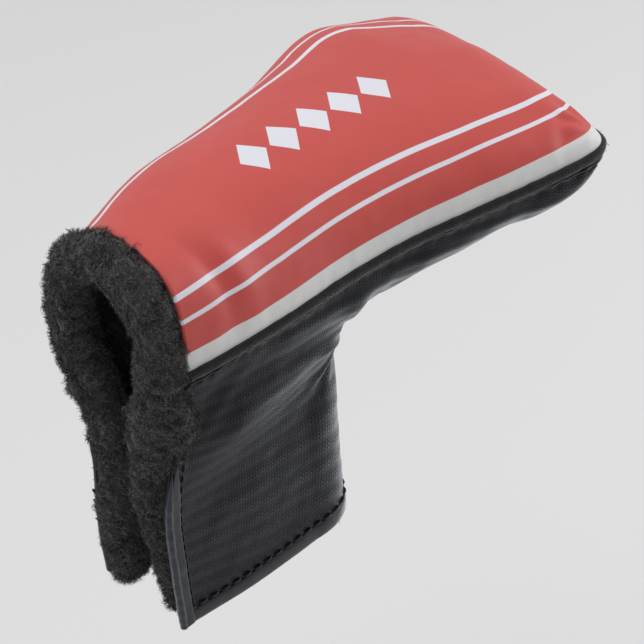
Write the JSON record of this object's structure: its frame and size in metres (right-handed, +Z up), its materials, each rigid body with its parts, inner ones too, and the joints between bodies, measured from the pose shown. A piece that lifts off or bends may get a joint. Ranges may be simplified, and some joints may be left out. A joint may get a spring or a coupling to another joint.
{
  "type": "putter head cover",
  "caption": "Soft blade-style putter head cover: arched printed top, embossed dark sides, open neck and a fleece-lined heel mouth with two folding flaps.",
  "frame": {"origin": "centre of the neck mouth in the plane of the hem, on the shaft's axis", "axes": "+Z up along the shaft to the head, +X to the toe, +Y to the far side, which is the side away from the viewer"},
  "size_m": [0.1248, 0.0712, 0.1076],
  "materials": {
    "printed_top": "smooth printed synthetic leather, salmon red with a white border, satin",
    "foam": "thin closed foam sheet, matt",
    "fleece": "short sherpa fleece, charcoal",
    "fleece_roll": "thick curly sherpa fleece, charcoal",
    "piping": "matt black suede-like piping",
    "side_leather": "dark synthetic leather embossed with a fine twill, satin",
    "smooth_trim": "dark smooth synthetic leather, folded and topstitched, satin",
    "pouch_cloth": "black woven cloth",
    "magnet": "nickel-plated discs"
  },
  "bodies": {
    "body": {"top_panel": "printed_top", "top_foam": "foam", "top_lining": "fleece", "welt_piping": "piping", "centre_seam_binding": "smooth_trim", "mouth_collar": "fleece_roll", "near_side_panel": "side_leather", "far_side_panel": "side_leather", "near_side_lining": "fleece", "far_side_lining": "fleece", "near_hem_band": "smooth_trim", "far_hem_band": "smooth_trim"},
    "near_flap": {"near_flap_panel": "side_leather", "near_flap_lining": "fleece", "near_flap_lip": "fleece_roll", "near_flap_edge_binding": "smooth_trim", "near_flap_hem_band": "smooth_trim", "near_magnet_pouch": "pouch_cloth", "near_magnets": "magnet"},
    "far_flap": {"far_flap_panel": "side_leather", "far_flap_lining": "fleece", "far_flap_lip": "fleece_roll", "far_flap_edge_binding": "smooth_trim", "far_flap_hem_band": "smooth_trim", "far_magnet_pouch": "pouch_cloth", "far_magnets": "magnet"}
  },
  "joints": [
    {"name": "near_flap_swing", "type": "hinge", "parent": "body", "child": "near_flap", "pos_m": [-0.038, -0.0252, 0.076], "axis": [-0.4884, -0.1272, 0.8633], "range_deg": [-1.5, 32]},
    {"name": "far_flap_swing", "type": "hinge", "parent": "body", "child": "far_flap", "pos_m": [-0.038, 0.0116, 0.076], "axis": [0.4924, 0.016, -0.8702], "range_deg": [-1.5, 32]}
  ]
}
